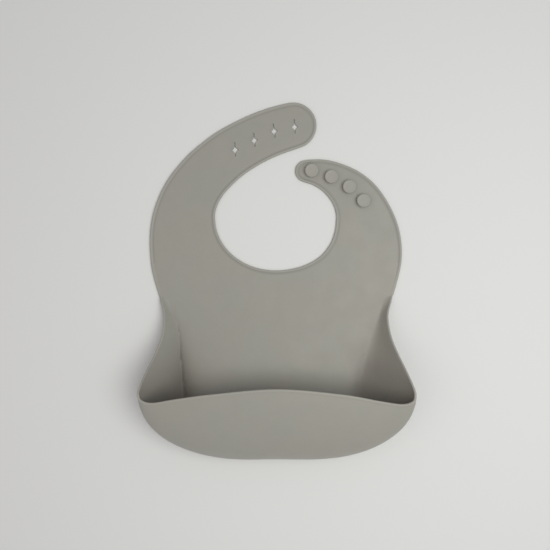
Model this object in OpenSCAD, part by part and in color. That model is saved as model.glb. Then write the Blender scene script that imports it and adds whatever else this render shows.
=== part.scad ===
// One-piece moulded feeding bib: an apron with a standing catcher pocket, a
// yoke round the neck opening, a long strap with four star holes and a short
// strap with four studs. Flat on its back: +X right, +Y to the neck, +Z front.
// Origin: centre of the whole box, on the rest face. Millimetres.

/* [Sheet and bead] */
// Thickness of the moulded sheet
sheet = 1.6; // [1.2:0.1:2.2]
// Width of the raised bead along every edge
bead_w = 2.2; // [1.8:0.1:2.8]
// Height of that bead above the back face
bead_h = 2.2; // [2:0.1:3]

/* [Neck opening] */
// Half the width of the neck opening
neck_a = 51.4; // [46:0.5:53]
// Depth of the neck opening below its widest line
neck_b = 44.6; // [36:0.5:44.6]
// Height of the widest line above the origin
neck_y = 51.6; // [50:0.2:53]
// How much the neck opening swells toward its lower right
neck_swell = 0.04; // [0:0.01:0.05]

/* [Hole strap] */
// Radius of the round end of the long strap
hole_tip_r = 19.5; // [18:0.5:20.5]
// Centre of that round end, to the right of the origin
hole_tip_x = 14.3; // [12:0.1:17]
// Centre of that round end, above the origin
hole_tip_y = 129.9; // [128.5:0.1:131.5]
// Half the width of a star hole
star_x = 3.1; // [2.6:0.1:4]
// Half the height of a star hole
star_y = 3.4; // [2.8:0.1:4.4]
// Distance from a star's centre to its inner corners, across and up
star_waist = 1.3; // [1.1:0.1:1.8]
// Length of the slit through a star, which lets it open over a stud
slit_l = 13.2; // [10:0.2:16]
// Width of that slit
slit_w = 0.6; // [0.4:0.1:1]

/* [Stud strap] */
// Radius of the round end of the short strap
stud_tip_r = 9.4; // [8.5:0.1:10]
// Diameter of a stud head
stud_head_d = 11.3; // [9:0.1:12.4]
// Thickness of a stud head
stud_head_h = 2; // [1.2:0.1:3]
// Diameter of the stem under a stud head
stud_stem_d = 5.2; // [3:0.1:6]
// Height of that stem above the sheet
stud_stem_h = 2; // [1.6:0.1:3]
// Depth of the dish in a stud's top
stud_dish = 0.2; // [0.1:0.1:0.6]

/* [Catcher pocket] */
// Height of the lip at its middle
lip_z = 48; // [42:1:54]
// Height of the lip at its two round corners
corner_z = 38.8; // [34:1:42]
// How far the front wall leans back over the floor
front_lean = 66; // [56:1:68]
// Gap between the moving front wall and the side walls
wall_gap = 0.4; // [0.3:0.1:0.8]

/* [Folds] */
// Half the height of the flexing band below the neck
neck_fold_half = 2.3; // [2:0.1:3]
// Half the height of the flexing band at each shoulder
shoulder_half = 1.2; // [1:0.1:2]
// Half the width of the flexing band before the star holes
tip_fold_half = 1.4; // [1.2:0.1:2]

/* [Preview] */
// Sub-part to draw, or all of them

/* [Hidden] */

sheet_colour = [0.62, 0.61, 0.58];
bead_colour = [0.72, 0.71, 0.68];
web_colour = [0.5, 0.5, 0.46];
stud_colour = [0.78, 0.76, 0.72];

// The apron meets the pocket here, and the folds lie on these lines.
base_y = -12.7;
neck_fold_y = 0.3;
shoulder_y = 48.3;
tip_fold = [-48.2, 100.8];
strap_split_y = 102.6;

// Beyond every outline, for the blocks that cut it into sub-parts.
far = 400;
bead_side = 80;

// Star holes and studs, from the strap's root to its tip.
star_places = [[-35.2, 109.1], [-18.9, 117.1], [-2.1, 124.9], [15.3, 128.6]];
star_turns = [4, 6, 8, 4];
stud_places = [[73.1, 65.9], [61.2, 77.6], [46.1, 86.1], [29.4, 91.3]];

// Outer edge of the left shoulder and long strap, from the bottom up.
left_edge = [
    [-98.8, -17.2], [-100.5, -12.4], [-103.8, -1.2], [-106.1, 9.1],
    [-107.2, 19.6], [-107.7, 31.1], [-107.1, 42.6], [-105.1, 54.4],
    [-101.8, 65], [-97.5, 75.2], [-91.6, 85.3], [-84.1, 95.2],
    [-74.8, 105.4], [-63, 115.5], [-48.7, 125.7], [-30.7, 135.2],
    [-15.4, 141.8], [-0.5, 146.5]
];
// Inner edge of the long strap, down to the neck opening.
left_inner = [
    [3.7, 105.6], [-8.2, 100.3], [-17.4, 95.2], [-25.6, 89.9],
    [-32.2, 84.8], [-37.8, 79.5], [-42.7, 74.4], [-46.9, 68.9],
    [-50, 63.1], [-51.9, 57.4]
];
// Inner edge of the short strap, up from the neck opening.
right_inner = [
    [49.8, 57.4], [48.2, 62.2], [45.4, 67.1], [41.6, 71.8],
    [36.4, 76.2], [29.7, 79.9]
];
// Outer edge of the short strap and right shoulder, down to the bottom.
right_edge = [
    [28.9, 101], [38.5, 101.1], [48.7, 99.4], [59, 96],
    [69.1, 91.2], [78.4, 84.6], [85, 78.1], [90.2, 71.3],
    [95.2, 63.2], [99.7, 54], [103, 44.8], [105.1, 35.4],
    [106.1, 25.4], [105.9, 15.6], [104.4, 6.6], [102.3, -1.8],
    [99.3, -12.4], [97.6, -17.2]
];
tip_angles = [92, 66, 40, 14, -12, -36, -56, -72];
neck_angles = [for (a = [180:15:360]) a];
stud_tip_angles = [-110, -135, -160, -185, -210, -235, -255];
stud_tip_centre = [24.9, 91.2];

// Right half of the pocket, from the apron round to the middle of the front.
// Each row: lip x, y, z, base x, y, outward direction x, y, then how far the
// wall runs out along the ground, how far it leans over, and how it drops.
pocket_rows = [
    [99.3, base_y, 0, 96, base_y, 1, 0, 1.1, -1.1, 0],
    [97.1, -19.2, 4, 90.5, -19.6, 1, 0, 2, -1, 2],
    [93.5, -31.2, 9, 86, -31.8, 1, 0, 4, -2, 4],
    [94.7, -46.8, 15.5, 81, -45.8, 1, 0, 7, -4, 6],
    [98.8, -60.3, 23, 76.5, -61.8, 1, 0, 9, -5, 8],
    [104.5, -74.4, 31, 73, -77.4, 1, -0.05, 10, -6, 9],
    [108.6, -85.8, corner_z - 1.8, 69, -93, 0.98, -0.2, 12, -3, 12],
    [109.3, -91.2, corner_z, 68.5, -107.5, 0.93, -0.36, 16, 4, 13],
    [107, -96.3, corner_z + 0.8, 63, -119.8, 0.78, -0.63, 20, 16.5, 12],
    [98, -98.2, corner_z + 1.5, 55, -129.2, 0.47, -0.88, 21, 0.56 * front_lean, 10],
    [80, -95.2, corner_z + 3.5, 42, -133.8, 0.21, -0.98, 24, 0.81 * front_lean, 9],
    [50, -89.4, lip_z - 2.5, 25, -135.9, 0.07, -1, 26, 0.97 * front_lean, 8.3],
    [0, -84.9, lip_z, 0, -136.5, 0, -1, 27, front_lean, 8]
];
// On the left the wall stands a little further out and the panel turns up
// into it along a tighter line: lip x, lip y, base x, base y and run-out of
// the rows that differ.
left_rows = [
    [-100.6, base_y, -97.3, base_y, 1.1], [-98.3, -19.2, -91.6, -19.6, 1.6],
    [-94.8, -31.2, -87.4, -31.8, 2], [-95.2, -46.8, -84.4, -45.8, 2.4],
    [-99.2, -60.3, -83, -61.8, 2.8], [-105.2, -74.4, -81.6, -77.4, 3.2],
    [-109.1, -85.8, -79.8, -93, 5], [-109.5, -91.2, -76.6, -107.5, 10],
    [-106.4, -95.6, -69.4, -120.2, 16], [-97.6, -97.2, -57.6, -129.9, 20],
    [-80, -94, -42, -133.8, 24]
];
middle = len(pocket_rows) - 1;
mirror_row = [-1, 1, 1, -1, 1, -1, 1, 1, 1, 1];
function mirrored(row) = [for (i = [0:len(row) - 1]) row[i] * mirror_row[i]];
function left_row(k) =
    let (row = mirrored(pocket_rows[k]))
    let (l = left_rows[k])
    k >= len(left_rows)
    ? row
    : [l[0], l[1], row[2], l[2], l[3], row[5], row[6], l[4], row[8], row[9]];
all_rows = concat(pocket_rows, [for (k = [middle - 1:-1:0]) left_row(k)]);
// The front wall lies between these rows, counted round from the right.
front_from = 10;
front_to = 2 * middle - front_from;
row_step = 0.25;
gap_step = wall_gap / 30;
// Between sub-parts of one firm region, in steps round the wall and in
// millimetres before the bead.
seam_step = 0.005;
seam = 0.12;
// Steps up the wall from its base to the bead: floor, flexing band, wall.
steps = [0, 0.06, 0.12, 0.18, 0.24, 0.3, 0.36, 0.46, 0.58, 0.7, 0.82, 0.92, 1];
floor_steps = 4;
band_steps = 6;
wall_steps = len(steps) - 1;
band_gap = 0.003;
floor_gap = 0.0015;
lip_turn = 3;
// Width of the rounded edge on a stud head.
edge_round = 0.4;

// A smooth curve through points.
function at(list, i) = i < 0
    ? 2 * list[0] - list[1]
    : i > len(list) - 1
    ? 2 * list[len(list) - 1] - list[len(list) - 2]
    : list[i];
function curve(a, b, c, d, t) =
    0.5 * (2 * b + (c - a) * t + (2 * a - 5 * b + 4 * c - d) * t * t
    + (3 * b - a - 3 * c + d) * t * t * t);
function along(list, s) =
    let (i = min(floor(s), len(list) - 2))
    curve(at(list, i - 1), at(list, i), at(list, i + 1), at(list, i + 2), s - i);
function smooth(list, n) = [
    for (i = [0:n * (len(list) - 1)]) along(list, i / n)
];
function unit(v) = v / norm(v);
function arc(centre, ra, rb, angles) = [
    for (a = angles) centre + [ra * cos(a), rb * sin(a)]
];

// The outline, clockwise from the lower left, and the same line moved inward.
outline_control = concat(
    left_edge,
    arc([hole_tip_x, hole_tip_y], hole_tip_r, hole_tip_r, tip_angles),
    left_inner,
    [
        for (a = neck_angles)
            [-1, neck_y] + (1 + neck_swell * exp(-pow((a - 318) / 25, 2)))
                * [neck_a * cos(a), neck_b * sin(a)]
    ],
    right_inner,
    arc(stud_tip_centre, stud_tip_r, stud_tip_r, stud_tip_angles),
    right_edge
);
outline = smooth(outline_control, 3);
function inward(list, i) =
    let (d = unit(at(list, i + 1) - at(list, i - 1)))
    [d.y, -d.x];
inset = [
    for (i = [0:len(outline) - 1]) outline[i] + bead_w * inward(outline, i)
];
band = concat(outline, [for (i = [len(inset) - 1:-1:0]) inset[i]]);

// The pocket wall. A profile is four points: base, run-out, lean and lip.
function profile(row) =
    let (n = unit([row[5], row[6]]))
    let (lip = [row[0], row[1], row[2]])
    let (base = [row[3], row[4], 0])
    [
        base,
        base + row[7] * [n.x, n.y, 0],
        lip + [row[8] * n.x, row[8] * n.y, -row[9]],
        lip
    ];
function bend(p, t) =
    pow(1 - t, 3) * p[0] + 3 * pow(1 - t, 2) * t * p[1]
    + 3 * (1 - t) * t * t * p[2] + pow(t, 3) * p[3];
function slope(p, t) =
    3 * pow(1 - t, 2) * (p[1] - p[0]) + 6 * (1 - t) * t * (p[2] - p[1])
    + 3 * t * t * (p[3] - p[2]);
function bead_start(p) = 1 - bead_w / (3 * norm(p[3] - p[2]));
function wall_end(p) = 1 - (bead_w + seam) / (3 * norm(p[3] - p[2]));
function facing(s, t) =
    let (a = max(s - 0.02, 0))
    let (b = min(s + 0.02, 2 * middle))
    let (round_way = bend(profile(along(all_rows, b)), t)
        - bend(profile(along(all_rows, a)), t))
    let (n = unit(cross(round_way, slope(profile(along(all_rows, s)), t))))
    s == 0 || s == 2 * middle ? unit([n.x, 0, n.z]) : n;
// One grid point: a row, a step up the wall, and a height above the back.
function skin(s, u, lift) =
    let (p = profile(along(all_rows, s)))
    let (t = u * wall_end(p))
    bend(p, t) + lift * facing(s, t);
// Towards the lip the bead stands on the outer face instead of the inner.
function turned(s) =
    let (k = min(s, 2 * middle - s))
    (bead_h - sheet) * max(0, min(1, (k - 1) / lip_turn));
function edge_ring(s) =
    let (p = profile(along(all_rows, s)))
    let (low = -turned(s))
    let (high = bead_h - turned(s))
    let (t = bead_start(p))
    let (n_in = facing(s, t))
    let (n_out = facing(s, 1))
    [
        bend(p, t) + low * n_in,
        bend(p, 1) + low * n_out,
        bend(p, 1) + high * n_out,
        bend(p, t) + high * n_in
    ];
function rows_between(from, to) =
    let (inner = [
        for (i = [0:2 * middle / row_step])
            let (s = i * row_step)
            if (s > from + row_step / 3 && s < to - row_step / 3) s
    ])
    concat([from], inner, [to]);

// A closed tube through rings of equal length, capped at both ends.
module tube(rings) {
    n = len(rings[0]);
    m = len(rings);
    points = [for (ring = rings) for (p = ring) p];
    sides = [
        for (i = [0:m - 2])
            for (j = [0:n - 1])
                let (a = i * n + j)
                let (b = i * n + (j + 1) % n)
                for (f = [[a, b, b + n], [a, b + n, a + n]]) f
    ];
    first = [for (j = [n - 1:-1:0]) j];
    last = [for (j = [0:n - 1]) (m - 1) * n + j];
    polyhedron(points, concat([first], sides, [last]), convexity = 6);
}

// Part of the pocket wall, between two rows and two lists of steps.
module wall(from, to, heights) {
    up = len(heights) - 1;
    tube([
        for (s = rows_between(from, to)) concat(
            [for (j = [0:up]) skin(s, heights[j], 0)],
            [for (j = [up:-1:0]) skin(s, heights[j], sheet)]
        )
    ]);
}

module bead(from, to) {
    tube([for (s = rows_between(from, to)) edge_ring(s)]);
}

// A block that keeps what lies between two heights and two sides.
module zone(x0, x1, y0, y1) {
    translate([x0, y0, -1])
        cube([x1 - x0, y1 - y0, far]);
}

// A block on one side of the fold before the star holes.
module tip_zone(from, to) {
    translate([tip_fold.x, tip_fold.y, -1])
        rotate([0, 0, 45])
            translate([from, -far / 2, 0])
                cube([to - from, far, far]);
}

// The long strap's side of the gap between the two straps.
module hole_side() {
    zone(-far, 0, shoulder_y, strap_split_y);
    zone(-far, far, strap_split_y, far);
}

module stud_side() {
    zone(0, far, shoulder_y, strap_split_y);
}

module flat_sheet() {
    linear_extrude(sheet)
        polygon(inset);
}

module flat_bead() {
    linear_extrude(bead_h)
        polygon(band);
}

module whole_flat() {
    union() {
        flat_sheet();
        flat_bead();
    }
}

module star() {
    linear_extrude(2 * bead_h, center = true)
        union() {
            polygon([
                [star_x, 0], [star_waist, star_waist], [0, star_y],
                [-star_waist, star_waist], [-star_x, 0],
                [-star_waist, -star_waist], [0, -star_y],
                [star_waist, -star_waist]
            ]);
            square([slit_w, slit_l], center = true);
        }
}

module stud(place) {
    r = stud_head_d / 2;
    top = stud_stem_h + stud_head_h;
    translate([place.x, place.y, sheet])
        rotate_extrude($fn = 64)
            polygon([
                [0, 0], [stud_stem_d / 2, 0], [stud_stem_d / 2, stud_stem_h],
                [r - edge_round, stud_stem_h], [r, stud_stem_h + edge_round],
                [r, top - edge_round], [r - edge_round, top],
                [r - 2 * edge_round, top], [r - 3 * edge_round, top - stud_dish],
                [0, top - stud_dish]
            ]);
}

module apron_panel() {
    base = [
        for (s = rows_between(0, 2 * middle))
            let (p = profile(along(all_rows, s)))
            [p[0].x, p[0].y]
    ];
    color(sheet_colour)
        union() {
            linear_extrude(sheet)
                polygon(base);
            intersection() {
                flat_sheet();
                zone(-far, far, base_y, neck_fold_y - neck_fold_half);
            }
        }
}

module apron_left_rim() {
    color(bead_colour)
        intersection() {
            flat_bead();
            zone(-far, 0, base_y, neck_fold_y - neck_fold_half);
        }
}

module apron_right_rim() {
    color(bead_colour)
        intersection() {
            flat_bead();
            zone(0, far, base_y, neck_fold_y - neck_fold_half);
        }
}

module neck_fold_web() {
    color(web_colour)
        intersection() {
            whole_flat();
            zone(-far, far, neck_fold_y - neck_fold_half,
                neck_fold_y + neck_fold_half);
        }
}

module pocket_floor() {
    color(sheet_colour)
        wall(front_from + seam_step, front_to - seam_step, [
            for (i = [0:floor_steps])
                i == floor_steps ? steps[i] - floor_gap : steps[i]
        ]);
}

module pocket_bend_web() {
    color(web_colour)
        wall(front_from + seam_step, front_to - seam_step,
            [for (i = [floor_steps:band_steps]) steps[i]]);
}

module pocket_front() {
    heights = [
        for (i = [band_steps:wall_steps])
            i == band_steps ? steps[i] + band_gap : steps[i]
    ];
    color(sheet_colour)
        wall(front_from + gap_step, front_to - gap_step, heights);
}

module pocket_lip() {
    color(bead_colour)
        bead(front_from + gap_step, front_to - gap_step);
}

module right_gusset() {
    color(sheet_colour)
        wall(0, front_from, steps);
}

module right_gusset_rim() {
    color(bead_colour)
        bead(0, front_from);
}

module left_gusset() {
    color(sheet_colour)
        wall(front_to, 2 * middle, steps);
}

module left_gusset_rim() {
    color(bead_colour)
        bead(front_to, 2 * middle);
}

module yoke_panel() {
    color(sheet_colour)
        intersection() {
            flat_sheet();
            zone(-far, far, neck_fold_y + neck_fold_half,
                shoulder_y - shoulder_half);
        }
}

module yoke_left_rim() {
    color(bead_colour)
        intersection() {
            flat_bead();
            zone(-far, -bead_side, neck_fold_y + neck_fold_half,
                shoulder_y - shoulder_half);
        }
}

module yoke_right_rim() {
    color(bead_colour)
        intersection() {
            flat_bead();
            zone(bead_side, far, neck_fold_y + neck_fold_half,
                shoulder_y - shoulder_half);
        }
}

module neck_rim() {
    color(bead_colour)
        intersection() {
            flat_bead();
            zone(-bead_side, bead_side, neck_fold_y + neck_fold_half,
                shoulder_y - shoulder_half);
        }
}

module hole_shoulder_web() {
    color(web_colour)
        intersection() {
            whole_flat();
            zone(-far, 0, shoulder_y - shoulder_half,
                shoulder_y + shoulder_half);
        }
}

module stud_shoulder_web() {
    color(web_colour)
        intersection() {
            whole_flat();
            zone(0, far, shoulder_y - shoulder_half,
                shoulder_y + shoulder_half);
        }
}

module hole_strap_panel() {
    color(sheet_colour)
        intersection() {
            flat_sheet();
            hole_side();
            zone(-far, far, shoulder_y + shoulder_half, far);
            tip_zone(-far, -tip_fold_half);
        }
}

module hole_strap_outer_rim() {
    color(bead_colour)
        difference() {
            intersection() {
                flat_bead();
                hole_side();
                zone(-far, far, shoulder_y + shoulder_half, far);
                tip_zone(-far, -tip_fold_half);
            }
            inner_side();
        }
}

module hole_strap_inner_rim() {
    color(bead_colour)
        intersection() {
            flat_bead();
            hole_side();
            zone(-far, far, shoulder_y + shoulder_half, far);
            tip_zone(-far, -tip_fold_half);
            inner_side();
        }
}

// What lies nearer to the neck than the middle of the long strap.
module inner_side() {
    linear_extrude(far)
        polygon([
            [-80, 40], [-78, 62], [-66, 85], [tip_fold.x - 8, 102],
            [tip_fold.x + 8, 112], [0, 112], [0, 40]
        ]);
}

module hole_tip_web() {
    color(web_colour)
        intersection() {
            whole_flat();
            hole_side();
            tip_zone(-tip_fold_half, tip_fold_half);
        }
}

module hole_tip_panel() {
    color(sheet_colour)
        difference() {
            intersection() {
                flat_sheet();
                hole_side();
                tip_zone(tip_fold_half, far);
            }
            for (i = [0:len(star_places) - 1])
                translate([star_places[i].x, star_places[i].y, 0])
                    rotate([0, 0, star_turns[i]])
                        star();
        }
}

module hole_tip_rim() {
    color(bead_colour)
        intersection() {
            flat_bead();
            hole_side();
            tip_zone(tip_fold_half, far);
        }
}

module stud_strap_panel() {
    color(sheet_colour)
        intersection() {
            flat_sheet();
            stud_side();
            zone(-far, far, shoulder_y + shoulder_half, far);
        }
}

module stud_strap_rim() {
    color(bead_colour)
        intersection() {
            flat_bead();
            stud_side();
            zone(-far, far, shoulder_y + shoulder_half, far);
        }
}

module stud_1() {
    color(stud_colour)
        stud(stud_places[0]);
}

module stud_2() {
    color(stud_colour)
        stud(stud_places[1]);
}

module stud_3() {
    color(stud_colour)
        stud(stud_places[2]);
}

module stud_4() {
    color(stud_colour)
        stud(stud_places[3]);
}

apron_panel();
apron_left_rim();
apron_right_rim();
neck_fold_web();
pocket_floor();
pocket_bend_web();
pocket_front();
pocket_lip();
left_gusset();
left_gusset_rim();
right_gusset();
right_gusset_rim();
yoke_panel();
yoke_left_rim();
yoke_right_rim();
neck_rim();
hole_shoulder_web();
hole_strap_panel();
hole_strap_outer_rim();
hole_strap_inner_rim();
hole_tip_web();
hole_tip_panel();
hole_tip_rim();
stud_shoulder_web();
stud_strap_panel();
stud_strap_rim();
stud_1();
stud_2();
stud_3();
stud_4();
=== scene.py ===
import math

import bmesh
import bpy
import numpy as np
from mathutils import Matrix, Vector
from mathutils.geometry import delaunay_2d_cdt


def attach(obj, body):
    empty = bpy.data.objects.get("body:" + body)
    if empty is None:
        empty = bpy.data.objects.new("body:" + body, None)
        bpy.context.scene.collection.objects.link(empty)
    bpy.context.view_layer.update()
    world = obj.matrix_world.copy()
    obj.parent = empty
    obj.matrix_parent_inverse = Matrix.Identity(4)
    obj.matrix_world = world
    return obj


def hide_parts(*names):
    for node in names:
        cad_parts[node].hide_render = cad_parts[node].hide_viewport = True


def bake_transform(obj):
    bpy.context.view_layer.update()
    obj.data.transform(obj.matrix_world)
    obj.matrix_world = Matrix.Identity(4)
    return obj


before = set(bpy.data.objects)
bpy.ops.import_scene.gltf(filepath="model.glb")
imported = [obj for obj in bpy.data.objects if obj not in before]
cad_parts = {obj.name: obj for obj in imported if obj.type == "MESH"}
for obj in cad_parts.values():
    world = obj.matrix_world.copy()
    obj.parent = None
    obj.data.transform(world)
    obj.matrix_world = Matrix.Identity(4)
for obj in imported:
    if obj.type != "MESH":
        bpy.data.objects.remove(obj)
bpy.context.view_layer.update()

# Shapes are worked out in millimetres, in the frame of the CAD, and every mesh
# is written in metres. The bib is one soft moulding, so its skin is drawn as
# five closed pieces that meet face to face in places that never bend.
MM = 0.001
SHEET = 1.6


# ---------------------------------------------------------------- curves

def at(rows, i):
    """Row i, or one guessed in a straight line past either end."""
    if i < 0:
        return 2 * rows[0] - rows[1]
    if i > len(rows) - 1:
        return 2 * rows[-1] - rows[-2]
    return rows[i]


def along(rows, s):
    """A smooth curve through rows, at row number s."""
    i = min(int(math.floor(s)), len(rows) - 2)
    t = s - i
    a, b, c, d = at(rows, i - 1), at(rows, i), at(rows, i + 1), at(rows, i + 2)
    return 0.5 * (2 * b + (c - a) * t + (2 * a - 5 * b + 4 * c - d) * t * t
                  + (3 * b - a - 3 * c + d) * t * t * t)


def smoothstep(a, b, x):
    """0 at a, 1 at b, and smooth between them. b may be less than a."""
    t = np.clip((np.asarray(x, float) - a) / (b - a), 0, 1)
    return t * t * (3 - 2 * t)


def resample(points, step):
    """The same line with points an even distance apart."""
    points = np.asarray(points, float)
    length = np.r_[0, np.cumsum(np.linalg.norm(np.diff(points, axis=0), axis=1))]
    n = int(round(length[-1] / step))
    want = np.linspace(0, length[-1], n + 1)
    return np.stack([np.interp(want, length, points[:, k])
                     for k in range(points.shape[1])], 1)


def soften(points, times):
    """Rounds small kinks off a line and leaves its ends where they are."""
    points = points.copy()
    for _ in range(times):
        points[1:-1] = 0.25 * points[:-2] + 0.5 * points[1:-1] + 0.25 * points[2:]
    return points


def arc(centre, ra, rb, degrees):
    """Points on an ellipse."""
    return [(centre[0] + ra * math.cos(math.radians(a)),
             centre[1] + rb * math.sin(math.radians(a))) for a in degrees]


# ------------------------------------------------------- the flat outline

LEFT_EDGE = [
    (-98.8, -17.2), (-100.5, -12.4), (-103.8, -1.2), (-106.1, 9.1),
    (-107.2, 19.6), (-107.7, 31.1), (-107.1, 42.6), (-105.1, 54.4),
    (-101.8, 65), (-97.5, 75.2), (-91.6, 85.3), (-84.1, 95.2),
    (-74.8, 105.4), (-63, 115.5), (-48.7, 125.7), (-30.7, 135.2),
    (-15.4, 141.8), (-0.5, 146.5)]
LEFT_INNER = [
    (3.7, 105.6), (-8.2, 100.3), (-17.4, 95.2), (-25.6, 89.9),
    (-32.2, 84.8), (-37.8, 79.5), (-42.7, 74.4), (-46.9, 68.9),
    (-50, 63.1), (-51.9, 57.4)]
RIGHT_INNER = [
    (49.8, 57.4), (48.2, 62.2), (45.4, 67.1), (41.6, 71.8),
    (36.4, 76.2), (29.7, 79.9)]
RIGHT_EDGE = [
    (28.9, 101), (38.5, 101.1), (48.7, 99.4), (59, 96),
    (69.1, 91.2), (78.4, 84.6), (85, 78.1), (90.2, 71.3),
    (95.2, 63.2), (99.7, 54), (103, 44.8), (105.1, 35.4),
    (106.1, 25.4), (105.9, 15.6), (104.4, 6.6), (102.3, -1.8),
    (99.3, -12.4), (97.6, -17.2)]
LONG_TIP, LONG_TIP_R = (14.3, 129.9), 19.5
SHORT_TIP, SHORT_TIP_R = (24.9, 91.2), 9.4
NECK, NECK_A, NECK_B = (-1, 51.6), 51.4, 44.6
NECK_SWELL, SWELL_AT, SWELL_WIDTH = 0.04, 318, 25
BASE_Y = -12.7


def neck_line(degrees):
    """The neck opening, which swells a little toward its lower right."""
    points = []
    for a in degrees:
        k = 1 + NECK_SWELL * math.exp(-((a - SWELL_AT) / SWELL_WIDTH) ** 2)
        points += arc(NECK, NECK_A * k, NECK_B * k, [a])
    return points


control = np.array(
    LEFT_EDGE
    + arc(LONG_TIP, LONG_TIP_R, LONG_TIP_R, (92, 66, 40, 14, -12, -36, -56, -72))
    + LEFT_INNER
    + neck_line(range(180, 361, 15))
    + RIGHT_INNER
    + arc(SHORT_TIP, SHORT_TIP_R, SHORT_TIP_R,
          (-110, -135, -160, -185, -210, -235, -255))
    + RIGHT_EDGE)
dense = [along(control, k / 16) for k in range(16 * (len(control) - 1) + 1)]
edge = soften(resample(dense, 0.9), 6)
forward = np.gradient(edge, axis=0)
forward /= np.linalg.norm(forward, axis=1)[:, None]
inward = np.stack([forward[:, 1], -forward[:, 0]], 1)


def station(x, y):
    """The number of the outline point nearest to a place."""
    return int(np.argmin(np.linalg.norm(edge - np.array((x, y)), axis=1)))


# Where the pieces of skin meet: below the neck, at the shoulders, and before
# the star holes. None of these places bends.
LOW_Y, SHOULDER_Y = -7.4, 40.1
low_left, low_right = station(-102.3, LOW_Y), station(100.7, LOW_Y)
sh_left, sh_right = station(-108.1, SHOULDER_Y), station(104.2, SHOULDER_Y)
neck_left, neck_right = station(-50.9, SHOULDER_Y), station(48.9, SHOULDER_Y)
tip_out, tip_in = station(-69.2, 111.1), station(-42.6, 75.6)

# Along the edge: distance in from it, how far the raised bead there stands
# above the sheet, how far the lip of the pocket is thickened on its outer
# face, and how far the back is rounded off. Beside the bead runs a shallow
# groove.
EDGE = [(4.4, 0, 0, 0), (3.8, -0.03, 0, 0), (3.3, -0.09, 0.01, 0),
        (2.9, -0.15, 0.03, 0), (2.6, -0.13, 0.06, 0), (2.35, -0.02, 0.1, 0),
        (2.1, 0.17, 0.14, 0), (1.8, 0.38, 0.19, 0), (1.45, 0.53, 0.24, 0),
        (1.05, 0.58, 0.27, 0), (0.7, 0.52, 0.25, 0), (0.4, 0.36, 0.16, 0.1),
        (0.15, 0.06, -0.05, 0.3), (0, -0.4, -0.4, 0.7)]
RING = EDGE[0][0]
# How far in from the edge a piece of skin is cut square to it.
SEAM = 6.5
# The bead fades out down the sides, below the shoulders.
BEAD_SIDE, BEAD_LEFT, BEAD_FULL_Y, BEAD_GONE_Y = 80, 0.08, 20, -16
# The mark of a place so far from the edge that the material paints no groove shade or
# highlight.
NO_RIM = 20.0


# ---------------------------------------------------------------- meshes

class Skin:
    """Collects points and faces, and welds points that fall together."""

    def __init__(self):
        self.points, self.rim, self.shade, self.index = [], [], [], {}
        self.faces, self.caps = [], []

    def point(self, x, y, z, rim=NO_RIM, shade=0.0):
        key = (round(x, 3), round(y, 3), round(z, 3))
        if key not in self.index:
            self.index[key] = len(self.points)
            self.points.append((x, y, z))
            self.rim.append(rim)
            self.shade.append(shade)
        return self.index[key]

    def face(self, *ids, cap=False):
        ids = [v for k, v in enumerate(ids) if v != ids[k - 1]]
        if len(set(ids)) > 2 and len(set(ids)) == len(ids):
            if cap:
                self.caps.append(len(self.faces))
            self.faces.append(ids)

    def strip(self, a, b, cap=False):
        for k in range(len(a) - 1):
            self.face(a[k], a[k + 1], b[k + 1], b[k], cap=cap)

    def build(self, name):
        """Makes the object, smooth all over but sharp round its caps."""
        mesh = bpy.data.meshes.new(name)
        mesh.from_pydata([tuple(c * MM for c in p) for p in self.points],
                         [], self.faces)
        for label, values in (("rim", self.rim), ("shade", self.shade)):
            attribute = mesh.attributes.new(label, "FLOAT", "POINT")
            attribute.data.foreach_set("value", np.array(values, np.float32))
        caps = set(self.caps)
        bm = bmesh.new()
        bm.from_mesh(mesh)
        bm.faces.ensure_lookup_table()
        for f in bm.faces:
            f.smooth = True
        for k in caps:
            for e in bm.faces[k].edges:
                if any(g.index not in caps for g in e.link_faces):
                    e.smooth = False
        loose = [v for v in bm.verts if not v.link_faces]
        bmesh.ops.delete(bm, geom=loose, context="VERTS")
        bmesh.ops.recalc_face_normals(bm, faces=bm.faces)
        open_edges = sum(1 for e in bm.edges if len(e.link_faces) != 2)
        print(name, len(bm.verts), "points,", open_edges, "open edges")
        bm.to_mesh(mesh)
        bm.free()
        piece = bpy.data.objects.new(name, mesh)
        bpy.context.collection.objects.link(piece)
        return piece


def inside(points, polygon):
    """Which points lie inside a closed polygon."""
    x, y = points[:, 0], points[:, 1]
    a, b = polygon, np.roll(polygon, -1, axis=0)
    hit = np.zeros(len(points), bool)
    for (x1, y1), (x2, y2) in zip(a, b):
        if y1 == y2:
            continue
        crosses = ((y1 > y) != (y2 > y)) & (x < (x2 - x1) * (y - y1) / (y2 - y1) + x1)
        hit ^= crosses
    return hit


def clear_of(points, polygon, gap):
    """Which points stay further than a gap from a closed polygon."""
    a, b = polygon, np.roll(polygon, -1, axis=0)
    keep = np.ones(len(points), bool)
    for p, q in zip(a, b):
        d = q - p
        t = np.clip(((points - p) @ d) / max(d @ d, 1e-9), 0, 1)
        keep &= np.linalg.norm(points - (p + t[:, None] * d), axis=1) > gap
    return keep


# How far a star hole reaches at most from its middle, and how clear of it the
# points of the grid keep.
HOLE_REACH, HOLE_GAP = 12, 0.7


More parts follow.
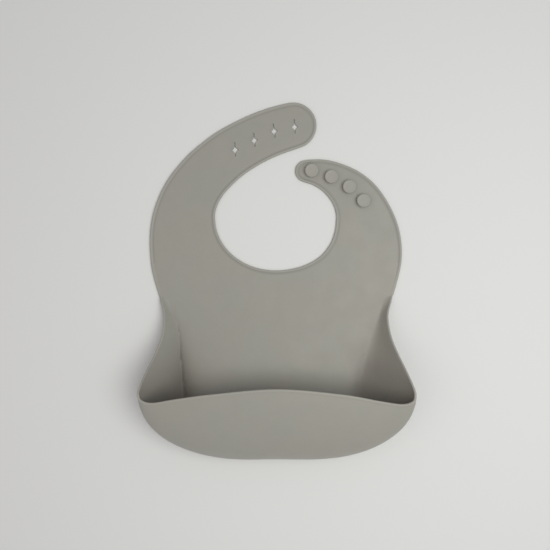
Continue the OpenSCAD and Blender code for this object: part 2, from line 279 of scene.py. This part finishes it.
def fill(boundary, holes=(), spacing=3.0, rows=()):
    """Triangles over the inside of a closed line: its points and faces. The
    points stand on a grid of equal triangles, and on extra rows if given."""
    boundary = np.asarray(boundary, float)
    lo, hi = boundary.min(0), boundary.max(0)
    grid = []
    for j, y in enumerate(np.arange(lo[1], hi[1], spacing * 0.866)):
        start = lo[0] + (spacing / 2 if j % 2 else 0)
        grid += [(x, y) for x in np.arange(start, hi[0], spacing)]
    grid = np.array(grid + list(rows), float)
    grid = grid[inside(grid, boundary)]
    grid = grid[clear_of(grid, boundary, 0.45 * spacing)]
    for hole in holes:
        near = np.linalg.norm(grid - hole.mean(0), axis=1) < HOLE_REACH
        keep = ~near
        some = np.flatnonzero(near)
        if len(some):
            ok = ~inside(grid[some], hole) & clear_of(grid[some], hole, HOLE_GAP)
            keep[some[ok]] = True
        grid = grid[keep]
    points, edges, start = [], [], 0
    for loop in [boundary] + list(holes):
        n = len(loop)
        points += [Vector(p) for p in loop]
        edges += [(start + k, start + (k + 1) % n) for k in range(n)]
        start += n
    points += [Vector(p) for p in grid]
    verts, _, faces, _, _, _ = delaunay_2d_cdt(points, edges, [], 0, 1e-5)
    verts = np.array([(v.x, v.y) for v in verts])
    middles = np.array([verts[list(f)].mean(0) for f in faces])
    keep = inside(middles, boundary)
    for hole in holes:
        keep &= ~inside(middles, hole)
    return verts, [f for f, k in zip(faces, keep) if k]


def bead_share(x, y):
    """How much of the bead's height is left."""
    if abs(x) < BEAD_SIDE:
        return 1.0
    return BEAD_LEFT + (1 - BEAD_LEFT) * float(smoothstep(BEAD_GONE_Y, BEAD_FULL_Y, y))


def rim_mark(d, share, turned=0.0):
    """What the material reads as the distance from the edge, for its painted highlight
    and painted shade. Where the bead has gone there is no painted groove shade, and
    only the very edge is marked for the painted highlight."""
    if share > 0.9 and turned == 0 or d < 1.6:
        return d
    return d + NO_RIM * (1 - share) if turned == 0 else NO_RIM


def ring_row(skin, i):
    """The rounded edge at outline point i: ids from the sheet's front face,
    over the bead and round to the back face."""
    front, back = [], []
    share = bead_share(*edge[i])
    for d, bead, _, rounding in EDGE:
        x, y = edge[i] + d * inward[i]
        lift = bead * share - (1 - share) * rounding * 0.6
        front.append(skin.point(x, y, SHEET + lift, rim_mark(d, share)))
        back.append(skin.point(x, y, rounding, d))
    return front + back[::-1]


def cut_line(i, j):
    """Points straight across the sheet between outline points i and j."""
    a, b = edge[i] + SEAM * inward[i], edge[j] + SEAM * inward[j]
    n = max(2, int(np.linalg.norm(b - a) / 2.5))
    middle = [a + (b - a) * k / n for k in range(n + 1)]
    return np.array([edge[i] + RING * inward[i]] + middle
                    + [edge[j] + RING * inward[j]])


def flat_piece(name, runs, holes=(), rows=()):
    """A closed piece of skin. runs are stretches of the outline, in order;
    between them the piece is cut straight across."""
    skin = Skin()
    boundary = []
    for k, (i, j) in enumerate(runs):
        rows_ids = [ring_row(skin, m) for m in range(i, j + 1)]
        for a, b in zip(rows_ids[:-1], rows_ids[1:]):
            skin.strip(a, b)
        skin.face(*rows_ids[0], cap=True)
        skin.face(*rows_ids[-1][::-1], cap=True)
        boundary += [edge[m] + RING * inward[m] for m in range(i, j + 1)]
        line = cut_line(j, runs[(k + 1) % len(runs)][0])
        top = [skin.point(x, y, SHEET) for x, y in line]
        low = [skin.point(x, y, 0) for x, y in line]
        skin.strip(top, low, cap=True)
        boundary += list(line[1:-1])
    outer = [h[0] for h in holes]
    verts, faces = fill(boundary, outer, rows=rows)
    for f in faces:
        skin.face(*[skin.point(*verts[k], SHEET) for k in f])
        skin.face(*[skin.point(*verts[k], 0) for k in reversed(f)])
    for loops in holes:
        levels = [(loops[0], SHEET), (loops[1], SHEET + 0.12),
                  (loops[2], SHEET - 0.25), (loops[2], 0.25), (loops[0], 0)]
        chain = [[skin.point(x, y, z) for x, y in loop] for loop, z in levels]
        for a, b in zip(chain[:-1], chain[1:]):
            skin.strip(a + a[:1], b + b[:1])
    return skin.build(name)


def band(x0, x1, ys, step=3.0):
    """Rows of points across a bend, a step apart along each row."""
    return [(x, y) for y in ys for x in np.arange(x0, x1, step)]


# ------------------------------------------------------- the star holes

# Place and turn of each star hole.
STARS = [(-35.2, 109.1, 4), (-18.9, 117.1, 6), (-2.1, 124.9, 8), (15.3, 128.6, 4)]
# One star: its right corner, how its side curves in, where that side meets the
# slit, the rest of the upper slit, and the end of the lower one.
STAR_CORNER, STAR_PULL, STAR_TOP = (3.1, 0), (0.9, 1.0), (0.22, 3.4)
UPPER_SLIT = [(0.22, 4.1), (0.22, 4.6), (0.42, 5.0), (0.48, 5.7), (0.36, 6.3),
              (0.0, 6.6)]
LOWER_SLIT = [(0.12, 5.2), (0.0, 5.6)]


def star_loops(x, y, turn):
    """Three loops round a star hole, from outside in. A quarter of the hole
    runs from its right corner along its curved side to the top of the star,
    and up the slit, which widens to an eye at its end."""
    corner, pull, top = (np.array(p) for p in (STAR_CORNER, STAR_PULL, STAR_TOP))
    quarter = [(1 - t) ** 2 * corner + 2 * t * (1 - t) * pull + t * t * top
               for t in np.linspace(0, 1, 9)]
    quarter = np.array(quarter + UPPER_SLIT)
    left = quarter[-2::-1] * (-1, 1)
    lower = np.array([q for q in quarter[1:-1] if q[1] < 4.5])
    lower = np.vstack([lower, LOWER_SLIT]) * (1, -1)
    loop = np.vstack([quarter, left, lower * (-1, 1), lower[-2::-1]])
    ahead = np.roll(loop, -1, axis=0) - np.roll(loop, 1, axis=0)
    away = np.stack([ahead[:, 1], -ahead[:, 0]], 1)
    away /= np.linalg.norm(away, axis=1)[:, None]
    a = math.radians(turn)
    spin = np.array(((math.cos(a), -math.sin(a)), (math.sin(a), math.cos(a))))
    return [(loop + grow * away) @ spin.T + (x, y) for grow in (0.55, 0.25, 0.0)]


# --------------------------------------------------------- flat pieces

# Rows across the bends at the neck, at the shoulders and before the star holes.
NECK_BEND = np.arange(-5.7, 6.8, 0.62)
SHOULDER_BEND = np.arange(42.3, 54.6, 1.0)
TIP_BEND = [(-48.2 + 0.7071 * (u + v), 100.8 + 0.7071 * (u - v))
            for u in np.arange(-6, 6.1, 1.0) for v in np.arange(-16, 17, 3.0)]
chest = flat_piece(
    "chest_skin",
    [(low_left, sh_left), (neck_left, neck_right), (sh_right, low_right)],
    rows=band(-102, 103, NECK_BEND))
left_strap = flat_piece(
    "long_strap_skin", [(sh_left, tip_out), (tip_in, neck_left)],
    rows=band(-104, -50, SHOULDER_BEND))
hole_strap = flat_piece(
    "star_hole_skin", [(tip_out, tip_in)],
    holes=[star_loops(*s) for s in STARS], rows=TIP_BEND)
right_strap = flat_piece(
    "short_strap_skin", [(neck_right, sh_right)],
    rows=band(50, 103, SHOULDER_BEND))


# --------------------------------------------------- the catcher pocket

# Each row: lip x, y, z, base x, y, outward direction x, y, then how far the
# wall runs out along the ground, how far it leans over, and how it drops.
POCKET = [
    (99.3, BASE_Y, 0, 93, BASE_Y, 1, 0, 2, -2, 0),
    (97.1, -19.2, 4, 90, -19.6, 1, 0, 2, -1, 2),
    (93.5, -31.2, 9, 86, -31.8, 1, 0, 4, -2, 4),
    (94.7, -46.8, 15.5, 81, -45.8, 1, 0, 7, -4, 6),
    (98.8, -60.3, 23, 76.5, -61.8, 1, 0, 9, -5, 8),
    (104.5, -74.4, 31, 73, -77.4, 1, -0.05, 10, -6, 9),
    (108.6, -85.8, 37, 69, -93, 0.98, -0.2, 12, -3, 12),
    (109.3, -91.2, 38.8, 68.5, -107.5, 0.93, -0.36, 16, 4, 13),
    (107, -96.3, 39.6, 63, -119.8, 0.78, -0.63, 20, 16.5, 12),
    (98, -98.2, 40.3, 55, -129.2, 0.47, -0.88, 21, 37, 10),
    (80, -95.2, 42.3, 42, -133.8, 0.21, -0.98, 24, 53.5, 9),
    (50, -89.4, 45.5, 25, -135.9, 0.07, -1, 26, 64, 8.3),
    (0, -84.9, 48, 0, -136.5, 0, -1, 27, 66, 8)]
# On the left the wall stands a little further out and the panel turns up
# into it along a tighter line: lip x, lip y, base x, base y and run-out of
# the rows that differ.
LEFT_ROWS = [(-100.6, BASE_Y, -94.2, BASE_Y, 2), (-98.3, -19.2, -91.2, -19.6, 1.6),
             (-94.8, -31.2, -87.4, -31.8, 1), (-95.2, -46.8, -84.6, -45.8, 0.4),
             (-99.2, -60.3, -83.4, -61.8, 0.4), (-105.2, -74.4, -82, -77.4, 0.4),
             (-109.1, -85.8, -80.2, -93, 1.5), (-109.5, -91.2, -76.6, -107.5, 10),
             (-106.4, -95.6, -69.4, -120.2, 16), (-97.6, -97.2, -57.6, -129.9, 20),
             (-80, -94, -42, -133.8, 24)]
right_rows = np.array(POCKET, float)
left_half = right_rows * np.array([-1, 1, 1, -1, 1, -1, 1, 1, 1, 1])
left_half[:len(LEFT_ROWS), [0, 1, 3, 4, 7]] = LEFT_ROWS
pocket_rows = np.vstack([right_rows, left_half[-2::-1]])
LAST = len(pocket_rows) - 1


def profile(s):
    """The four points that draw the wall at row number s, from base to lip."""
    row = along(pocket_rows, s)
    near = min(s, LAST - s)
    lift = float(smoothstep(0, 1, near)) if near < 1 else 1.0
    n = row[5:7] / np.linalg.norm(row[5:7])
    lip = np.array((row[0], row[1], row[2] * lift))
    base = np.array((row[3], row[4], 0))
    return np.array([
        base, base + row[7] * np.array((n[0], n[1], 0)),
        lip + np.array((row[8] * n[0], row[8] * n[1], -row[9] * lift)), lip])


def bezier(p, t):
    """Points on the curve that four points draw."""
    t = np.asarray(t, float)[:, None]
    return ((1 - t) ** 3 * p[0] + 3 * (1 - t) ** 2 * t * p[1]
            + 3 * (1 - t) * t * t * p[2] + t ** 3 * p[3])


# How many steps go up the wall below its bead, and how much of the way from
# one row to the next each step round it takes.
WALL, ROUND_STEP = 30, 0.125
fine = np.linspace(0, 1, 400)


def wall_row(points):
    """Points up a wall, even from its base to the bead and then at the bead's
    own distances from the lip."""
    length = np.r_[0, np.cumsum(np.linalg.norm(np.diff(points, axis=0), axis=1))]
    want = np.r_[np.linspace(0, length[-1] - RING, WALL + 1)[:-1],
                 [length[-1] - row[0] for row in EDGE]]
    return np.stack([np.interp(want, length, points[:, k]) for k in range(3)], 1)


def side_rows(numbers, across):
    """Rows beside the flat panel, from outline points down to the pocket."""
    found = []
    for m in numbers:
        if edge[m][1] < BASE_Y + 0.4:
            break
        w = smoothstep(LOW_Y, BASE_Y, edge[m][1])
        d = (1 - w) * inward[m] + w * np.array((across, 0))
        d = d / np.linalg.norm(d)
        lip = np.array((*edge[m], 0))
        found.append(wall_row(lip + SEAM * (1 - fine)[:, None] * np.array((*d, 0))))
    return found


right_side = side_rows(range(low_right, len(edge)), -1)
left_side = side_rows(range(low_left, -1, -1), 1)[::-1]
round_way = np.arange(0, LAST + 1e-6, ROUND_STEP)
back = np.array(right_side + [wall_row(bezier(profile(s), fine)) for s in round_way]
                + left_side)
# How far the wall has turned up, 0 on the flat and 1 where it stands.
turn = np.r_[np.zeros(len(right_side)),
             np.clip((np.minimum(round_way, LAST - round_way) - 1) / 3, 0, 1),
             np.zeros(len(left_side))]

normal = np.cross(np.gradient(back, axis=0), np.gradient(back, axis=1))
normal /= np.linalg.norm(normal, axis=2)[:, :, None]
flat = np.abs(back[:, :, 2]).max(1) < 1e-6
normal[flat] = (0, 0, 1)

edge_rows = np.array(EDGE)
bead_of, ridge_of, rounding_of = (np.r_[np.zeros(WALL), edge_rows[:, k]]
                                  for k in (1, 2, 3))
rim_of = np.r_[np.full(WALL, NO_RIM), edge_rows[:, 0]]
kept = np.array([bead_share(*lip[:2]) for lip in back[:, -1]])
inner = (kept * (1 - turn))[:, None]
outer = turn[:, None]
front_h = SHEET + inner * bead_of - 0.6 * (1 - inner) * rounding_of
back_h = (1 - outer) * rounding_of - outer * ridge_of
front_xyz = back + normal * front_h[:, :, None]
back_xyz = back + normal * back_h[:, :, None]

skin = Skin()
loops = []
lips = back[:, -1, 1]
for r in range(len(back)):
    marks = [rim_mark(d, kept[r], turn[r]) for d in rim_of]
    # Painted shade on the inner face of the pocket, deep in it and most toward the
    # foot of the wall.
    deep = float(smoothstep(-30, -100, lips[r]))
    a = [skin.point(*front_xyz[r, k], marks[k],
                    deep * (0.6 + 0.4 * (1 - min(k / WALL, 1)) ** 1.5))
         for k in range(back.shape[1])]
    b = [skin.point(*back_xyz[r, k], marks[k]) for k in range(back.shape[1])]
    loops.append(a + b[::-1])
for a, b in zip(loops[:-1], loops[1:]):
    skin.strip(a, b)
skin.face(*loops[0], cap=True)
skin.face(*loops[-1][::-1], cap=True)
line = cut_line(low_right, low_left)[1:-1]
top = [skin.point(x, y, SHEET) for x, y in line]
low = [skin.point(x, y, 0) for x, y in line]
skin.strip(top, low, cap=True)
base_line = back[:, 0, :2]
boundary = list(base_line) + list(line[::-1][1:-1])
left_foot = base_line[base_line[:, 0] < -60]
left_foot = left_foot[np.argsort(left_foot[:, 1])]
# How high the panel climbs from the left crease, over what run, how high its
# hump is, and how far out the painted shade of each crease reaches.
CREASE, CREASE_RUN, HUMP = 7.0, 9.0, 2.0
SHADE_LEFT, SHADE_RIGHT = 14, 8


def panel_arch(x, y):
    """How far the panel stands off the table inside the pocket: it climbs
    from the crease at the left wall and is a low hump across."""
    deep = smoothstep(-14, -80, y) * smoothstep(-134, -112, y)
    inside_by = max(x - np.interp(y, left_foot[:, 1], left_foot[:, 0]), 0)
    climb = CREASE * (1 - math.exp(-inside_by / CREASE_RUN)) * smoothstep(80, -40, x)
    hump = HUMP * max(1 - (x / 80) ** 2, 0)
    return float(deep * (climb + hump * smoothstep(0, 25, inside_by)))


def panel_ids(x, y):
    """The front and back points of the panel at a place."""
    away = np.hypot(*(base_line - (x, y)).T)
    nearest = int(np.argmin(away))
    if away[nearest] < 0.02:
        return loops[nearest][0], loops[nearest][-1]
    lift = panel_arch(x, y)
    # Painted shade on the panel deep in the pocket, strongest beside the creases at
    # the walls.
    reach = SHADE_LEFT if x < 0 else SHADE_RIGHT
    shade = float(smoothstep(-25, -90, y)) * math.exp(-away[nearest] / reach)
    return skin.point(x, y, SHEET + lift, shade=shade), skin.point(x, y, lift)


crease = band(-90, -62, np.arange(-136, -16, 1.8), step=1.8)
verts, faces = fill(boundary, spacing=4.0, rows=crease)
for f in faces:
    pair = [panel_ids(*verts[k]) for k in f]
    skin.face(*[p[0] for p in pair])
    skin.face(*[p[1] for p in reversed(pair)])
pocket = skin.build("pocket_skin")


# --------------------------------------------------------------- studs

# Where the studs stand, and half of their section: distance from the middle
# and height, from the foot in the sheet to the dished top.
STUDS = [(73.1, 65.9), (61.2, 77.6), (46.1, 86.1), (29.4, 91.3)]
LATHE = [(0, 1.2), (3.6, 1.2), (3.3, 1.62), (2.9, 1.8), (2.65, 2.15), (2.6, 3.1),
         (2.75, 3.45), (3.2, 3.62), (4.6, 3.66), (5.2, 3.74), (5.5, 3.98),
         (5.62, 4.4), (5.62, 4.9), (5.5, 5.28), (5.25, 5.5), (4.9, 5.58),
         (4.5, 5.56), (4.1, 5.47), (3.7, 5.41), (3.2, 5.4), (2.2, 5.41),
         (1.1, 5.42), (0, 5.42)]


def stud(name, x, y):
    """A turned knob."""
    skin = Skin()
    around = 56
    for k in range(len(LATHE) - 1):
        for j in range(around):
            quad = []
            for kk, jj in ((k, j), (k, j + 1), (k + 1, j + 1), (k + 1, j)):
                a = 2 * math.pi * (jj % around) / around
                r, z = LATHE[kk]
                quad.append(skin.point(x + r * math.cos(a), y + r * math.sin(a), z))
            skin.face(*quad)
    return skin.build(name)


studs = [stud("closure_stud_%d" % (k + 1), *p) for k, p in enumerate(STUDS)]


# ------------------------------------------------------------ materials

def silicone(name, colour, grain=1.0):
    """Matt silicone with faint clouding and a fine grain, with a painted highlight on
    its bead and edge and painted shade in its groove and pocket creases.
    """
    mat = bpy.data.materials.new(name)
    mat.use_nodes = True
    nt = mat.node_tree
    shader = nt.nodes["Principled BSDF"]
    coords = nt.nodes.new("ShaderNodeTexCoord")

    def noise(scale, detail, rough=0.5):
        n = nt.nodes.new("ShaderNodeTexNoise")
        n.inputs["Scale"].default_value = scale
        n.inputs["Detail"].default_value = detail
        n.inputs["Roughness"].default_value = rough
        nt.links.new(coords.outputs["Object"], n.inputs["Vector"])
        return n.outputs["Fac"]

    def remap(source, a, b, c, d):
        m = nt.nodes.new("ShaderNodeMapRange")
        m.interpolation_type = "SMOOTHSTEP"
        for key, value in zip(("From Min", "From Max", "To Min", "To Max"),
                              (a, b, c, d)):
            m.inputs[key].default_value = value
        nt.links.new(source, m.inputs["Value"])
        return m.outputs["Result"]

    def mix(factor, a, b):
        m = nt.nodes.new("ShaderNodeMix")
        m.data_type = "RGBA"
        for key, value in ((0, factor), (6, a), (7, b)):
            if isinstance(value, (int, float)):
                m.inputs[key].default_value = value
            elif isinstance(value, tuple):
                m.inputs[key].default_value = (*value, 1)
            else:
                nt.links.new(value, m.inputs[key])
        return m.outputs[2]

    def attribute(label):
        n = nt.nodes.new("ShaderNodeAttribute")
        n.attribute_name = label
        return n.outputs["Fac"]

    rim = attribute("rim")
    darker = tuple(0.9 * c for c in colour)
    lighter = tuple(min(1, 1.14 * c) for c in colour)
    warm = (colour[0] * 1.05, colour[1], colour[2] * 0.95)
    base = mix(remap(noise(18, 3), 0.3, 0.7, 0, 0.6), colour, warm)
    base = mix(remap(noise(95, 4, 0.6), 0.35, 0.7, 0, 0.2), base, darker)
    base = mix(remap(noise(900, 2), 0.45, 0.75, 0, 0.2), base, lighter)
    # Painted highlight and shade: the bead and the very edge are a little lighter than
    # the sheet, and the groove beside the bead darker.
    base = mix(remap(rim, 2.4, 1.2, 0, 0.5), base, lighter)
    groove = nt.nodes.new("ShaderNodeMath")
    groove.operation = "MULTIPLY"
    nt.links.new(remap(rim, 2.1, 2.7, 0, 1), groove.inputs[0])
    nt.links.new(remap(rim, 3.1, 4.2, 1, 0), groove.inputs[1])
    base = mix(groove.outputs[0], base, tuple(0.88 * c for c in colour))
    # Painted shade: the creases deep in the pocket are darker.
    base = mix(remap(attribute("shade"), 0, 1, 0, 0.8), base,
               (0.55 * colour[0], 0.5 * colour[1], 0.5 * colour[2]))
    nt.links.new(base, shader.inputs["Base Color"])
    nt.links.new(remap(noise(60, 3), 0.3, 0.7, 0.42, 0.52),
                 shader.inputs["Roughness"])
    shader.inputs["Specular IOR Level"].default_value = 0.5
    shader.inputs["IOR"].default_value = 1.41
    shader.inputs["Sheen Weight"].default_value = 0.12
    shader.inputs["Sheen Roughness"].default_value = 0.5
    bump = nt.nodes.new("ShaderNodeBump")
    bump.inputs["Strength"].default_value = 0.25 * grain
    bump.inputs["Distance"].default_value = 0.00012
    nt.links.new(noise(2600, 3, 0.6), bump.inputs["Height"])
    soft = nt.nodes.new("ShaderNodeBump")
    soft.inputs["Strength"].default_value = 0.35
    soft.inputs["Distance"].default_value = 0.0012
    nt.links.new(noise(28, 2), soft.inputs["Height"])
    nt.links.new(soft.outputs["Normal"], bump.inputs["Normal"])
    nt.links.new(bump.outputs["Normal"], shader.inputs["Normal"])
    return mat


sheet_mat = silicone("silicone_sheet", (0.339, 0.328, 0.293))
stud_mat = silicone("silicone_stud", (0.358, 0.346, 0.309), grain=3.0)
for piece in (pocket, chest, left_strap, hole_strap, right_strap):
    piece.data.materials.append(sheet_mat)
for piece in studs:
    piece.data.materials.append(stud_mat)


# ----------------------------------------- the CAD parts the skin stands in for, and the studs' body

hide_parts("apron_panel", "apron_left_rim", "apron_right_rim",
            "pocket_floor", "pocket_bend_web", "pocket_front", "pocket_lip",
            "left_gusset", "left_gusset_rim", "right_gusset", "right_gusset_rim")
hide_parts("neck_fold_web", "yoke_panel", "yoke_left_rim",
            "yoke_right_rim", "neck_rim")
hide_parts("hole_shoulder_web", "hole_strap_panel",
            "hole_strap_outer_rim", "hole_strap_inner_rim")
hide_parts("hole_tip_web", "hole_tip_panel", "hole_tip_rim")
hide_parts("stud_shoulder_web", "stud_strap_panel",
            "stud_strap_rim")
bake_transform(pocket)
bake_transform(chest)
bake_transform(left_strap)
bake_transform(hole_strap)
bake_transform(right_strap)
for k, piece in enumerate(studs):
    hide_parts("stud_%d" % (k + 1))
    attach(piece, "stud_strap")


# -------------------------------------------------- floor, light, camera

# Half the width of the floor, and how far it lies below the bib.
FLOOR_HALF, FLOOR_DROP = 3, 0.0001
floor_mesh = bpy.data.meshes.new("floor")
floor_mesh.from_pydata([(x * FLOOR_HALF, y * FLOOR_HALF, -FLOOR_DROP)
                        for x, y in ((-1, -1), (1, -1), (1, 1), (-1, 1))],
                       [], [(0, 1, 2, 3)])
floor = bpy.data.objects.new("floor", floor_mesh)
bpy.context.collection.objects.link(floor)
paper = bpy.data.materials.new("floor_paper")
paper.use_nodes = True
paper.node_tree.nodes["Principled BSDF"].inputs["Base Color"].default_value = (
    0.78, 0.77, 0.76, 1)
paper.node_tree.nodes["Principled BSDF"].inputs["Roughness"].default_value = 0.9
floor_mesh.materials.append(paper)


def lamp(name, place, target, size, power, colour):
    """A round soft lamp that faces its target."""
    data = bpy.data.lights.new(name, "AREA")
    data.shape = "DISK"
    data.size = size
    data.energy = power
    data.color = colour
    obj = bpy.data.objects.new(name, data)
    bpy.context.collection.objects.link(obj)
    obj.location = place
    obj.rotation_euler = (Vector(target) - Vector(place)).to_track_quat(
        "-Z", "Y").to_euler()


lamp("key", (0.29, -0.06, 0.68), (0, -0.02, 0), 0.6, 2.75, (0.97, 1, 0.96))
lamp("fill", (-0.7, -0.1, 0.9), (0, 0, 0), 0.9, 1.0, (1, 0.84, 0.78))
world = bpy.data.worlds.new("studio")
world.use_nodes = True
world.node_tree.nodes["Background"].inputs[0].default_value = (0.96, 0.98, 1, 1)
world.node_tree.nodes["Background"].inputs[1].default_value = 0.45
bpy.context.scene.world = world

# The camera looks straight down from half a metre above the table.
camera_data = bpy.data.cameras.new("camera")
camera = bpy.data.objects.new("camera", camera_data)
bpy.context.collection.objects.link(camera)
camera_data.sensor_width = 36
camera_data.lens = 38.5
camera.location = (-0.00145, 0.00315, 0.5)
bpy.context.scene.camera = camera
bpy.context.scene.view_settings.view_transform = "Standard"
